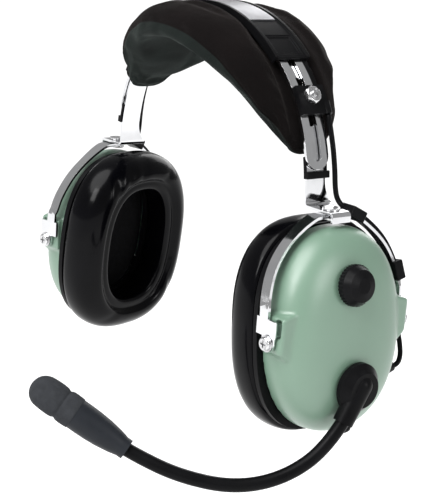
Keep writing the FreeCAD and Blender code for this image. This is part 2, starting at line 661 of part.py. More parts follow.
STRIP = strip_curve()


def strip_frame(parameter):
    """Centre, heading, width direction and outward direction of the strip at a curve parameter."""
    centre = STRIP.value(parameter)
    along = STRIP.tangent(parameter)[0]
    across = X_AXIS - along * X_AXIS.dot(along)
    across.normalize()
    return centre, along, across, across.cross(along)


def strip_at(y):
    """The strip's frame at a distance y behind the middle."""
    if y <= STRIP_POINTS[0][0]:
        return V(STRIP_POINTS[0][1], y, STRIP_POINTS[0][2]), V(0, 1, 0), X_AXIS, Z_AXIS
    low, high = STRIP.FirstParameter, STRIP.LastParameter
    for _ in range(40):
        middle = (low + high) / 2
        if STRIP.value(middle).y < y:
            low = middle
        else:
            high = middle
    return strip_frame(low)


def on_strip(y):
    """A point of the cable's centre line where it lies on the strip's outside, in the main frame."""
    centre, _, _, out = strip_at(y)
    return EAR.multVec(centre + out * (dim("strip_thick") / 2 + dim("cable_r") + 0.2))


def strip_sections():
    """Rectangles across the strip, from the edge of its flat crown to the pivot lug."""
    wires = []
    for step in range(STRIP_STEPS + 1):
        share = step / STRIP_STEPS
        parameter = STRIP.FirstParameter + (STRIP.LastParameter - STRIP.FirstParameter) * share
        centre, _, across, out = strip_frame(parameter)
        width = dim("strip_wide") + (dim("crown_wide") - dim("strip_wide")) * max(0.0, 1 - 3 * share)
        side, lift = across * (width / 2), out * (dim("strip_thick") / 2)
        corners = [centre - side - lift, centre + side - lift, centre + side + lift, centre - side + lift]
        wires.append(Part.makePolygon(corners + [corners[0]]))
    return wires


def stirrup_half():
    """The back half of the stirrup: strip, cross-shaped lug with its bent tab, and pivot tongue."""
    strip = Part.makeLoft(strip_sections(), True, True)
    y, thick, half = dim("pivot_y"), dim("strip_thick"), dim("crown_wide") / 2
    crown_y, crown_x, crown_z = STRIP_POINTS[0]
    neck_x, neck_z = STRIP_POINTS[-1][1:]
    crown = box_shape(V(crown_x - half, 0, crown_z - thick / 2), V(crown_x + half, crown_y, crown_z + thick / 2))
    waist = box_shape(V(crown_x + dim("waist_out"), -1, crown_z - thick),
                      V(crown_x + half + 1, dim("waist_half"), crown_z + thick))
    inner, outer = y - thick / 2, y + thick / 2
    neck = box_shape(V(neck_x - dim("strip_wide") / 2, inner, dim("ear_high") - 0.5),
                     V(neck_x + dim("strip_wide") / 2, outer, neck_z + 0.1))
    lug = box_shape(V(-dim("ear_in"), inner, dim("ear_low")), V(dim("ear_out"), outer, dim("ear_high")))
    tongue = box_shape(V(-dim("tongue_r"), inner, 0), V(dim("tongue_r"), outer, dim("ear_low") + 1))
    end = Part.makeCylinder(dim("tongue_r"), thick, V(0, inner, 0), Y_AXIS)
    tab = box_shape(V(dim("ear_out") - dim("tab_thick"), dim("tab_in"), dim("ear_low") + 1),
                    V(dim("ear_out"), inner + 0.5, dim("ear_high") - 0.8))
    shape = strip.multiFuse([crown.cut(waist), neck, lug, tongue, end, tab])
    hole = Part.makeCylinder(dim("screw_hole_r"), 6, V(0, inner - 2, 0), Y_AXIS)
    return shape.cut(hole)


def stirrup_shape():
    """The whole stirrup: two mirrored halves, with the hole for the swivel rivet."""
    back = stirrup_half()
    whole = back.fuse(back.mirror(V(), Y_AXIS)).removeSplitter()
    hole = Part.makeCylinder(dim("rivet_hole_r"), 6, V(-dim("rivet_in"), 0, dim("strip_top") - 3))
    whole = whole.cut(hole)
    return moved(whole, EAR)


CLIP_END = V(-4.3, 44.45, 14.0)
CLIP_HEADING = V(-0.04, 0.05, -1.0)


def stirrup_cable_points():
    """The cable's route along the outside of the stirrup's back arm, in the main frame."""
    gap = (on_strip(18.9) - on_strip(CABLE_JOIN)).normalize() * 0.4
    route = [on_strip(CABLE_JOIN) + gap] + [on_strip(y) for y in (20.2, 24.0, 27.6, 31.0, 34.0, 36.6, 38.7, 40.3, 41.3)]
    return route + [EAR.multVec(CLIP_END)]


def drop_cable_points():
    """The cable's route from the stirrup's clip round the pivot screw to the dome's gland."""
    gland_z = dim("cup_gland_z")
    local = [CLIP_END + CLIP_HEADING * 0.4, CLIP_END + CLIP_HEADING * 5, V(-5.4, 45.2, 3.4),
             V(-5.1, 45.6, -2.5), V(-3.4, 46.0, -8.5), V(-1.5, 46.5, -14.5), V(-0.3, 46.7, gland_z + 4.6),
             V(0, 44.6, gland_z), V(0, dim("cup_gland_bore") + 0.1, gland_z)]
    return [EAR.multVec(point) for point in local]


def sleeve_shape(y, long, wide, stirrup, cables):
    """A moulded sleeve round the stirrup and the cable, square to the strip at y."""
    centre, _, across, out = strip_at(y)
    frame = Placement(EAR.multVec(centre), Rotation(across, V(), out, "ZXY"))
    block = Part.makeBox(wide, long, 5.6, V(-wide / 2, -long / 2, -1.6))
    block = block.makeFillet(0.7, block.Edges)
    block.Placement = frame
    return block.cut([stirrup] + cables)


def build_stirrup(side):
    place = on_right if side == "right" else Part.Shape.copy
    stirrup = stirrup_shape()
    cable = tube(stirrup_cable_points(), dim("cable_r"), "stirrup cable " + side)
    turn = dim("right_turn") if side == "right" else 0.0
    feed = tube([turned_about_rivet(point, -turn) for point in arm_cable_points(turn)], dim("cable_r"),
                "feed cable " + side)
    clamp = sleeve_shape(13.6, 9.4, 10.0, stirrup, [cable, feed])
    clip = sleeve_shape(40.3, 9.8, 8.6, stirrup, [cable])
    pieces = {"stirrup": stirrup, "cable_clamp": clamp, "cable_clip": clip,
              "crossover_cable_stirrup": cable}
    for name, shape in pieces.items():
        title = name.title().replace("_", "") + side.title()
        sub_part(feature(title, place(shape)), f"{name}_{side}")


# ---------------------------------------------------------------- cup
def boss_shape():
    """The pivot boss at the back of a dome in the ear frame, sloping into the dome all round."""
    face, back, front = dim("boss_face"), dim("boss_back"), dim("boss_front")
    root, top, foot = 26, dim("boss_high"), dim("boss_ramp")
    side = Part.makePolygon([V(-20, root, top + 4), V(-20, face, top), V(-20, face, -dim("boss_low")),
                             V(-20, face - 7, -foot), V(-20, root, -foot - 4), V(-20, root, top + 4)])
    plan = Part.makePolygon([V(-back, root, -40), V(-back, face, -40), V(front, face, -40),
                             V(front, root, -40), V(-back, root, -40)])
    block = Part.Face(side).extrude(V(40, 0, 0)).common(Part.Face(plan).extrude(V(0, 0, 80)))
    edges = [edge for edge in block.Edges if edge.CenterOfMass.y > face - 5
             and edge.CenterOfMass.x > -back + 0.1]
    return block.makeFillet(dim("boss_round"), edges)


def pocket_shape():
    pocket = box_shape(V(dim("pocket_in"), dim("pocket_floor"), dim("pocket_low")),
                       V(dim("pocket_out"), dim("boss_face") + 3, dim("pocket_high")))
    hole = Part.makeCylinder(dim("screw_hole_r"), 12, V(0, dim("screw_tip") - 1, 0), Y_AXIS)
    return pocket.fuse(hole)


def both_ways(shape):
    return shape.fuse(shape.mirror(V(), Y_AXIS))


def cup_to_main(shape):
    return moved(shape, CUP)


def ear_to_main(shape):
    return moved(shape, EAR)


def cup_gland_axis():
    return V(0, dim("cup_gland_root"), dim("cup_gland_z")), V(0, dim("cup_gland_y"), dim("cup_gland_z"))


def cord_frame():
    """Cup-frame placement of the main cord's gland, on the lower back of the left dome."""
    outward = V(-0.05, dim("cord_y") / dim("dome_wide"), dim("cord_z") / dim("dome_high"))
    outward.normalize()
    return Placement(V(-3, dim("cord_y"), dim("cord_z")), Rotation(Z_AXIS, outward))


def dome_shape(side):
    """The moulded dome with its pivot bosses and the holes that its fittings need."""
    outer, inner = dome_solid(0), dome_solid(dim("dome_wall"))
    shell_outer, shell_inner = cup_to_main(outer), cup_to_main(inner)
    body = shell_outer.fuse(ear_to_main(both_ways(boss_shape())))
    base_plane = Part.makeBox(60, 200, 200, V(dim("dome_base") - 60, -100, -100))
    body = body.cut(cup_to_main(base_plane)).cut(shell_inner)
    body = body.fuse(ear_to_main(both_ways(boss_core())).common(shell_outer.fuse(
        ear_to_main(both_ways(boss_shape()))))).cut(cup_to_main(base_plane))
    body = body.cut(ear_to_main(both_ways(pocket_shape())))
    start, end = cup_gland_axis()
    body = body.cut(ear_to_main(rod(dim("cup_gland_r"), start - V(0, 6, 0), end)))
    if side == "left":
        for frame, radius in ((dome_normal_frame(dim("knob_y"), dim("knob_z")), dim("bush_r") + 0.05),
                              (dome_normal_frame(0.0, dim("hub_z")), dim("hub_hole_r"))):
            hole = Part.makeCylinder(radius, 20, V(0, 0, -10))
            hole.Placement = frame
            body = body.cut(cup_to_main(hole))
        hole = Part.makeCylinder(dim("cord_gland_r"), 20, V(0, 0, -10))
        hole.Placement = cord_frame()
        body = body.cut(cup_to_main(hole))
    return body.removeSplitter()


def boss_core():
    """Solid material behind a pivot boss, which the screw bites into."""
    return box_shape(V(-dim("boss_back"), 31.5, -5), V(dim("boss_front"), dim("boss_face") - 1, 13))


def seal_shape():
    """The gel ear seal: a crowned oval ring with a straight hole."""
    back, face = dim("seal_back"), dim("seal_face")
    wide, high = dim("seal_wide"), dim("seal_high")
    depth = back - face
    stations = ((0.0, 1.8), (0.18, 0.4), (0.42, 0.0), (0.66, 0.8), (0.85, 3.6), (0.96, 7.2), (1.0, 9.8))
    wires = [superellipse_wire(back - depth * share, wide - inset, high - inset, SEAL_POWER)
             for share, inset in stations]
    ring = Part.makeLoft(wires, True, False)
    hole = superellipse_plate(face - 5, back + 5, dim("seal_hole_wide"), dim("seal_hole_high"), SEAL_POWER)
    return ring.cut(hole)


def baffle_shape():
    """The plate that closes the dome and carries the seal."""
    low = dim("dome_base") - dim("baffle_thick")
    plate = superellipse_plate(low, dim("dome_base") - 0.05, dim("baffle_wide"), dim("baffle_high"), SEAL_POWER)
    hole = superellipse_plate(low - 1, low + 9, dim("baffle_open_wide"), dim("baffle_open_high"), SEAL_POWER)
    return plate.cut(hole)


def build_turned_for_cup():
    """Shapes turned about their own axes as PartDesign bodies, kept for both cups."""
    driver_place = CUP.multiply(Placement(V(dim("driver_front"), dim("driver_y"), dim("driver_z")),
                                          Rotation(Y_AXIS, 90)))
    driver = turned("Driver", [("0", "0"), ("driver_r", "0"), ("driver_r", "driver_rim"),
                               ("basket_r", "driver_rim"), ("magnet_r", "magnet_deep"),
                               ("magnet_r", "magnet_deep + driver_rim"),
                               ("0", "magnet_deep + driver_rim")], driver_place)
    gland_place = EAR.multiply(Placement(V(0, 0, dim("cup_gland_z")), Rotation(X_AXIS, -90)))
    gland = turned("CupGland", [("0", "cup_gland_root"), ("cup_gland_r", "cup_gland_root"),
                                ("cup_gland_r", "cup_gland_y - 4"), ("cup_gland_tip_r", "cup_gland_y"),
                                ("cable_r + 0.05", "cup_gland_y"), ("cable_r + 0.05", "cup_gland_bore"),
                                ("0", "cup_gland_bore")], gland_place)
    return {"ear_driver": driver, "crossover_gland": gland}


def pivot_hardware():
    """Pan-head pivot screws with crossed recesses, and their washers, for the front and the back."""
    head_y, thick = dim("head_y"), dim("screw_head_thick")
    head = Part.makeCylinder(dim("screw_head_r"), thick, V(0, head_y, 0), Y_AXIS)
    rim = [edge for edge in head.Edges if abs(edge.CenterOfMass.y - head_y - thick) < 0.01]
    head = head.makeFillet(0.9, rim)
    shank = Part.makeCylinder(dim("screw_r"), head_y - dim("screw_tip"), V(0, dim("screw_tip"), 0), Y_AXIS)
    screw = head.fuse(shank)
    for long, wide in ((3.6, 0.8), (0.8, 3.6)):
        screw = screw.cut(Part.makeBox(long, 2.0, wide, V(-long / 2, head_y + thick - 1.2, -wide / 2)))
    washer = Part.makeCylinder(dim("washer_r"), dim("washer_thick"), V(0, dim("washer_y"), 0), Y_AXIS)
    bore = Part.makeCylinder(dim("screw_hole_r"), 4, V(0, dim("washer_y") - 2, 0), Y_AXIS)
    washer = washer.cut(bore)
    pairs = []
    for shape in (screw, washer):
        pairs.append(ear_to_main(Part.makeCompound([shape, shape.mirror(V(), Y_AXIS)])))
    return pairs


def build_cup(side, turned_pieces):
    place = on_right if side == "right" else Part.Shape.copy
    screws, washers = pivot_hardware()
    foam = superellipse_plate(dim("foam_front"), dim("foam_back"), dim("foam_wide"), dim("foam_high"),
                              SEAL_POWER)
    board = Part.makeBox(dim("board_thick"), dim("board_wide"), dim("board_long"),
                         V(0, dim("board_y") - dim("board_wide") / 2, dim("board_z") - dim("board_long") / 2))
    cable = tube(drop_cable_points(), dim("cable_r"), "drop cable " + side)
    pieces = {"dome": dome_shape(side), "baffle_plate": cup_to_main(baffle_shape()),
              "ear_seal": cup_to_main(seal_shape()), "cup_foam": cup_to_main(foam),
              "pivot_screws": screws, "pivot_washers": washers, "crossover_cable_drop": cable}
    if side == "left":
        pieces["terminal_board"] = cup_to_main(board)
    for name, body in turned_pieces.items():
        pieces[name] = body.Shape
    for name, shape in pieces.items():
        title = name.title().replace("_", "") + side.title()
        sub_part(feature(title, place(shape)), f"{name}_{side}")


# ---------------------------------------------------------------- volume control
def build_volume_control():
    frame = CUP.multiply(dome_normal_frame(dim("knob_y"), dim("knob_z")))
    knob = turned("VolumeKnobBody", [("shaft_r", "knob_hollow_high"), ("knob_hollow_r", "knob_hollow_high"),
                                     ("knob_hollow_r", "knob_gap"), ("knob_skirt_r", "knob_gap"),
                                     ("knob_skirt_r", "knob_skirt_high"), ("knob_r", "knob_skirt_high + 0.4"),
                                     ("knob_dome_r", "knob_dome_high"), ("shaft_r + 0.6", "knob_high"),
                                     ("0", "knob_high"), ("0", "shaft_high"), ("shaft_r", "shaft_high")],
                  frame)
    grooves = []
    for step in range(36):
        turn = math.radians(10 * step)
        spot = V(dim("knob_skirt_r") * math.cos(turn) * 1.02, dim("knob_skirt_r") * math.sin(turn) * 1.02, 0)
        groove = Part.makeCylinder(dim("knob_grip_r"), dim("knob_skirt_high") + 2, spot)
        grooves.append(groove)
    cutter = feature("KnobGrooves", Part.makeCompound(grooves), frame)
    sub_part(cut("VolumeKnob", knob, cutter), "volume_knob")
    sub_part(turned("PotShaft", [("0", "0 - shaft_low"), ("shaft_r", "0 - shaft_low"),
                                 ("shaft_r", "shaft_high"), ("0", "shaft_high")], frame), "volume_shaft")
    low = "0 - dome_wall - 0.6"
    sub_part(turned("PotBody", [("shaft_hole_r", low), ("shaft_hole_r", "bush_high"),
                                ("bush_r", "bush_high"), ("bush_r", low), ("pot_r", low),
                                ("pot_r", low + " - pot_deep"), ("0", low + " - pot_deep"),
                                ("0", "0 - shaft_low - 0.2"), ("shaft_hole_r", "0 - shaft_low - 0.2")],
                    frame), "volume_control_body")
    sub_part(hexagon_body("PotNut", "nut_r", "bush_r", "nut_low", "nut_high", frame), "volume_control_nut")


# ---------------------------------------------------------------- boom
def hub_frame():
    return CUP.multiply(dome_normal_frame(0.0, dim("hub_z")))


def boom_points():
    """The flexible boom's centre line, from the hub's sleeve to the microphone's neck."""
    return [V(124.6, -6.2, -157.5), V(122.6, -15.5, -174.5), V(117.2, -35.5, -188.0),
            V(107.0, -57.5, -192.6), V(92.0, -79.5, -187.6), MIC_NECK - MIC_HEADING * 3.0,
            MIC_NECK + MIC_HEADING * 2.0]


MIC_NECK = V(73.0, -95.7, -178.5)
MIC_TIP = V(38.5, -128.6, -150.6)
MIC_HEADING = (MIC_TIP - MIC_NECK).normalize()


def hub_shape():
    """The boom hub: a domed disc with a stub through the dome, and a sleeve that grips the boom."""
    frame = hub_frame()
    disc = turned("HubDisc", [("0", "0 - hub_stub_deep"), ("hub_stub_r", "0 - hub_stub_deep"),
                              ("hub_stub_r", "hub_low"), ("hub_r", "hub_low"), ("hub_r", "hub_rim - 1"),
                              ("hub_r - 1", "hub_rim"), ("hub_top_r", "hub_top"), ("0", "hub_top")], frame)
    document.recompute()
    start = frame.multVec(V(2.0, 0, 4.6))
    points = boom_points()
    direction = points[1] - points[0]
    direction.normalize()
    end = points[0] + direction * 7.0
    axis = end - start
    sleeve = Part.makeCone(dim("sleeve_r"), dim("sleeve_tip_r"), axis.Length, start, axis)
    nose = Part.makeSphere(dim("sleeve_r"), start)
    shape = disc.Shape.fuse(sleeve).fuse(nose)
    under = Part.makeCylinder(60, 20, V(0, 0, dim("hub_low") - 20))
    ring = under.cut(Part.makeCylinder(dim("hub_stub_r"), 30, V(0, 0, dim("hub_low") - 25)))
    ring.Placement = frame
    path = rounded_path(points, "boom", report=False)
    section = Part.Wire([Part.makeCircle(dim("boom_r"), points[0], points[1] - points[0])])
    bore = Part.Solid(path.makePipeShell([section], True, False))
    return shape.cut(ring).cut(bore).removeSplitter()


def build_boom():
    frame = hub_frame()
    sub_part(feature("BoomHub", hub_shape()), "boom_hub")
    sub_part(turned("BoomWasher", [("hub_stub_r + 0.05", "hub_washer_low"), ("hub_washer_r", "hub_washer_low"),
                                   ("hub_washer_r", "hub_washer_high"),
                                   ("hub_stub_r + 0.05", "hub_washer_high")], frame), "boom_friction_washer")
    sub_part(hexagon_body("BoomNut", "hub_nut_r", "hub_stub_r", "hub_nut_low", "hub_nut_high", frame),
             "boom_hub_nut")
    sub_part(feature("BoomTube", tube(boom_points(), dim("boom_r"), "boom")), "boom_tube")
    mic = Placement(MIC_NECK, Rotation(Z_AXIS, MIC_HEADING))
    sub_part(turned("MicHousing", [("0", "mic_socket"), ("boom_r + 0.05", "mic_socket"),
                                   ("boom_r + 0.05", "0"), ("mic_neck_r", "0"),
                                   ("mic_neck_r", "mic_neck_long"), ("mic_low_r", "mic_low_long"),
                                   ("mic_mid_r", "mic_mid_long"), ("mic_high_r", "mic_high_long"),
                                   ("mic_r", "mic_taper_end"), ("mic_r", "mic_house_long"),
                                   ("mic_bore_r", "mic_house_long"), ("mic_bore_r", "mic_bore_start"),
                                   ("0", "mic_bore_start")], mic), "mic_housing")
    sub_part(turned("MicCapsule", [("0", "capsule_start"), ("capsule_r", "capsule_start"),
                                   ("capsule_r", "capsule_end"), ("0", "capsule_end")], mic), "mic_capsule")
    sub_part(turned("MicMuff", [("muff_bore_r", "muff_start"), ("muff_r", "muff_start"),
                                ("muff_r", "muff_groove - 0.6"), ("muff_groove_r", "muff_groove"),
                                ("muff_r", "muff_groove + 0.6"), ("muff_r", "muff_round"),
                                ("muff_tip_r", "mic_long"), ("0", "mic_long"), ("0", "muff_bore_end"),
                                ("muff_bore_r", "muff_bore_end")], mic), "mic_muff")


def build_cord_gland():
    place = CUP.multiply(cord_frame())
    sub_part(turned("CordGland", [("cord_bore_r", "0 - cord_gland_in"), ("cord_gland_r", "0 - cord_gland_in"),
                                  ("cord_gland_r", "cord_gland_out - 2"),
                                  ("cord_gland_r - 0.8", "cord_gland_out"),
                                  ("cord_bore_r", "cord_gland_out")], place), "main_cord_gland")


# ---------------------------------------------------------------- build, check and write
def check_document():
    document.recompute()
    for thing in document.Objects:
        if "Invalid" in thing.State or "Error" in thing.State:
            raise RuntimeError(f"{thing.Name} failed: {thing.State}")
    for thing in SUB_PARTS:
        shape = thing.Shape
        if shape.isNull() or not shape.isValid() or not shape.Solids:
            raise RuntimeError(f"{thing.Label} has no valid solid")
        print(f"{thing.Label}: {len(shape.Solids)} solid(s), {shape.Volume:.0f} mm3")


def write_parts():
    os.makedirs("parts", exist_ok=True)
    for thing in SUB_PARTS:
        thing.Shape.exportStep(os.path.join("parts", thing.Label + ".step"))


build_headband()
turned_for_cup = build_turned_for_cup()
document.recompute()
for side_name in ("left", "right"):
    build_arm(side_name)
    build_stirrup(side_name)
    build_cup(side_name, turned_for_cup)
build_volume_control()
build_boom()
build_cord_gland()
check_document()
write_parts()
print(len(SUB_PARTS), "sub-parts written")
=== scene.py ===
"""Looks for the aviation headset: soft pieces, moulded pieces, finishes, studio and camera."""
import json
import math

import bmesh
import bpy
from mathutils import Matrix, Vector, noise


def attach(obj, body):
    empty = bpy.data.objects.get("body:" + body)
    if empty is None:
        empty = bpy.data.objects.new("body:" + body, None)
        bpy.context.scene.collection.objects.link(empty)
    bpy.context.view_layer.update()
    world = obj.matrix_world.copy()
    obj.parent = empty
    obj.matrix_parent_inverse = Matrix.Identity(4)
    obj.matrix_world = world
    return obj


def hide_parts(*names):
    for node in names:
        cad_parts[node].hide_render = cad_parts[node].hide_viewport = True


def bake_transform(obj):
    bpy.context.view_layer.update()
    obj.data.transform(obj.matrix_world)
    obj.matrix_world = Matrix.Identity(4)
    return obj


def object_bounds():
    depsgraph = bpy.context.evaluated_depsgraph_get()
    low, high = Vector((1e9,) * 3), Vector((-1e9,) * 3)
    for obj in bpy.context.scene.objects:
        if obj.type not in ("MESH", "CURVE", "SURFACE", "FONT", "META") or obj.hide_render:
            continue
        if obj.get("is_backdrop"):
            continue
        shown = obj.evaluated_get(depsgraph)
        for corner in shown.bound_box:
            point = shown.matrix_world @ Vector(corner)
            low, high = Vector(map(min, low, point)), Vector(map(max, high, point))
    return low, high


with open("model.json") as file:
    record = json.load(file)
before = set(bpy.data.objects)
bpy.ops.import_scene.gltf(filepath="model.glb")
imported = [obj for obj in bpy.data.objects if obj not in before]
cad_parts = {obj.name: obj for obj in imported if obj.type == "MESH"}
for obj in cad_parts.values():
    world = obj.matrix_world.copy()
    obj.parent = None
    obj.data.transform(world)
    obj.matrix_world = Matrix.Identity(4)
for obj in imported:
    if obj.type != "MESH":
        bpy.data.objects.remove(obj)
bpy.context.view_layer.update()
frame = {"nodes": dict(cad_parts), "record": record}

RECORD = frame["record"]
NODES = frame["nodes"]
JOINTS = {joint["name"]: joint for joint in RECORD["behaviour"]["joints"]}
MOUNTS = {mount["name"]: mount for mount in RECORD["mounts"]}
MM = 0.001
BOOM_RADIUS = 3.3
CABLE_RADIUS = 1.3


# ---------------------------------------------------------------- frames
def joint_point(name):
    return Vector(JOINTS[name]["pos_m"])


def joint_axis(name):
    return Vector(JOINTS[name]["axis"]).normalized()


class CupFrame:
    """A cup's own directions: out of the dome, to the back of the head, and up, from its pivot."""

    def __init__(self, side):
        self.side = side
        self.origin = joint_point("cup_tilt_" + side)
        axis = joint_axis("cup_tilt_" + side)
        self.out = -Vector(MOUNTS[side + "_seal_face"]["axis"]).normalized()
        self.up = self.out.cross(axis).normalized()
        self.back = axis if axis.y > 0 else -axis
        self.ear_out = Vector((self.out.x, self.out.y, 0)).normalized()

    def point(self, out, back, up):
        """Millimetres in the leaning cup frame to metres in the row frame."""
        return self.origin + (self.out * out + self.back * back + self.up * up) * MM

    def ear_point(self, out, back, up):
        """The same for the upright frame on the pivot axis."""
        return self.origin + (self.ear_out * out + self.back * back + Vector((0, 0, up))) * MM


CUPS = {side: CupFrame(side) for side in ("left", "right")}
BAND = joint_point("arm_slide_left")


def polar(radius, angle, y):
    """Millimetres and degrees about the headband's centre, up from the left side."""
    turn = math.radians(angle)
    return BAND + Vector((radius * math.cos(turn), y, radius * math.sin(turn))) * MM


def smooth(low, high, x):
    """Rises smoothly from 0 at low to 1 at high."""
    t = min(1.0, max(0.0, (x - low) / (high - low)))
    return t * t * (3 - 2 * t)


def bell(x, middle, width):
    """A bump of height 1 about the middle."""
    return math.exp(-((x - middle) / width) ** 2)


# ---------------------------------------------------------------- meshes
def mesh_object(name, points, faces):
    """A smooth-shaded mesh with its normals outward."""
    mesh = bpy.data.meshes.new(name)
    mesh.from_pydata([tuple(point) for point in points], [], faces)
    mesh.update()
    net = bmesh.new()
    net.from_mesh(mesh)
    bmesh.ops.recalc_face_normals(net, faces=net.faces)
    net.to_mesh(mesh)
    net.free()
    mesh.shade_smooth()
    thing = bpy.data.objects.new(name, mesh)
    bpy.context.scene.collection.objects.link(thing)
    return thing


def skin(name, loops, ring=False):
    """A closed skin over a row of closed loops; ring joins the last loop to the first."""
    count, rows = len(loops[0]), len(loops)
    points = [point for loop in loops for point in loop]
    faces = []
    for row in range(rows if ring else rows - 1):
        after = (row + 1) % rows
        for step in range(count):
            other = (step + 1) % count
            faces.append((row * count + step, row * count + other,
                          after * count + other, after * count + step))
    if not ring:
        faces.append(tuple(range(count)))
        faces.append(tuple(range((rows - 1) * count, rows * count)))
    return mesh_object(name, points, faces)


def oval(half_wide, half_high, power, count):
    """(back, up) pairs round a superellipse."""
    pairs = []
    for step in range(count):
        turn = 2 * math.pi * (step + 0.5) / count
        c, s = math.cos(turn), math.sin(turn)
        pairs.append((math.copysign(half_wide * abs(c) ** (2 / power), c),
                      math.copysign(half_high * abs(s) ** (2 / power), s)))
    return pairs


def turned(name, origin, axis, profile, count=64):
    """A piece turned about an axis; profile holds (height, radius) pairs in millimetres."""
    axis = axis.normalized()
    side = axis.orthogonal().normalized()
    other = axis.cross(side)
    loops = []
    for height, radius in profile:
        centre = origin + axis * (height * MM)
        loops.append([centre + (side * math.cos(2 * math.pi * k / count)
                                + other * math.sin(2 * math.pi * k / count)) * (radius * MM)
                      for k in range(count)])
    return skin(name, loops)


def curve_line(points, steps_per_run=14):
    """Points along a smooth NURBS line through its control points."""
    curve = bpy.data.curves.new("line", "CURVE")
    curve.dimensions = "3D"
    curve.resolution_u = steps_per_run
    spline = curve.splines.new("NURBS")
    spline.points.add(len(points) - 1)
    for place, point in zip(spline.points, points):
        place.co = (*point, 1)
    spline.order_u = 3
    spline.use_endpoint_u = True
    holder = bpy.data.objects.new("line", curve)
    mesh = bpy.data.meshes.new_from_object(holder)
    line = [vertex.co.copy() for vertex in mesh.vertices]
    bpy.data.objects.remove(holder)
    bpy.data.meshes.remove(mesh)
    bpy.data.curves.remove(curve)
    return line


def swept(name, line, radius, count):
    """A round skin along a line."""
    side = (line[1] - line[0]).orthogonal().normalized()
    loops = []
    for index, point in enumerate(line):
        before, after = line[max(index - 1, 0)], line[min(index + 1, len(line) - 1)]
        along = (after - before).normalized()
        side = (side - along * side.dot(along)).normalized()
        other = along.cross(side)
        loops.append([point + (side * math.cos(2 * math.pi * k / count)
                               + other * math.sin(2 * math.pi * k / count)) * radius for k in range(count)])
    return skin(name, loops)


def soften_edges(thing, width):
    """A small rounding on a carried-over node's hard edges."""
    weld = thing.modifiers.new("Weld", "WELD")
    weld.merge_threshold = 0.00001
    bevel = thing.modifiers.new("Rounding", "BEVEL")
    bevel.width = width
    bevel.segments = 3
    bevel.limit_method = "ANGLE"
    bevel.angle_limit = math.radians(38)
    thing.data.shade_smooth()
    normals = thing.modifiers.new("Normals", "WEIGHTED_NORMAL")
    normals.keep_sharp = True


def moulded_over(thing, voxel, passes):
    """Melts a carried-over node's separate blocks into one moulded skin with filleted corners."""
    remesh = thing.modifiers.new("Moulded", "REMESH")
    remesh.mode = "VOXEL"
    remesh.voxel_size = voxel
    remesh.use_smooth_shade = True
    smoothing = thing.modifiers.new("Fillets", "SMOOTH")
    smoothing.factor = 0.5
    smoothing.iterations = passes


def finer(thing):
    """One round of subdivision."""
    subsurf = thing.modifiers.new("Finer", "SUBSURF")
    subsurf.levels = 1
    subsurf.render_levels = 1


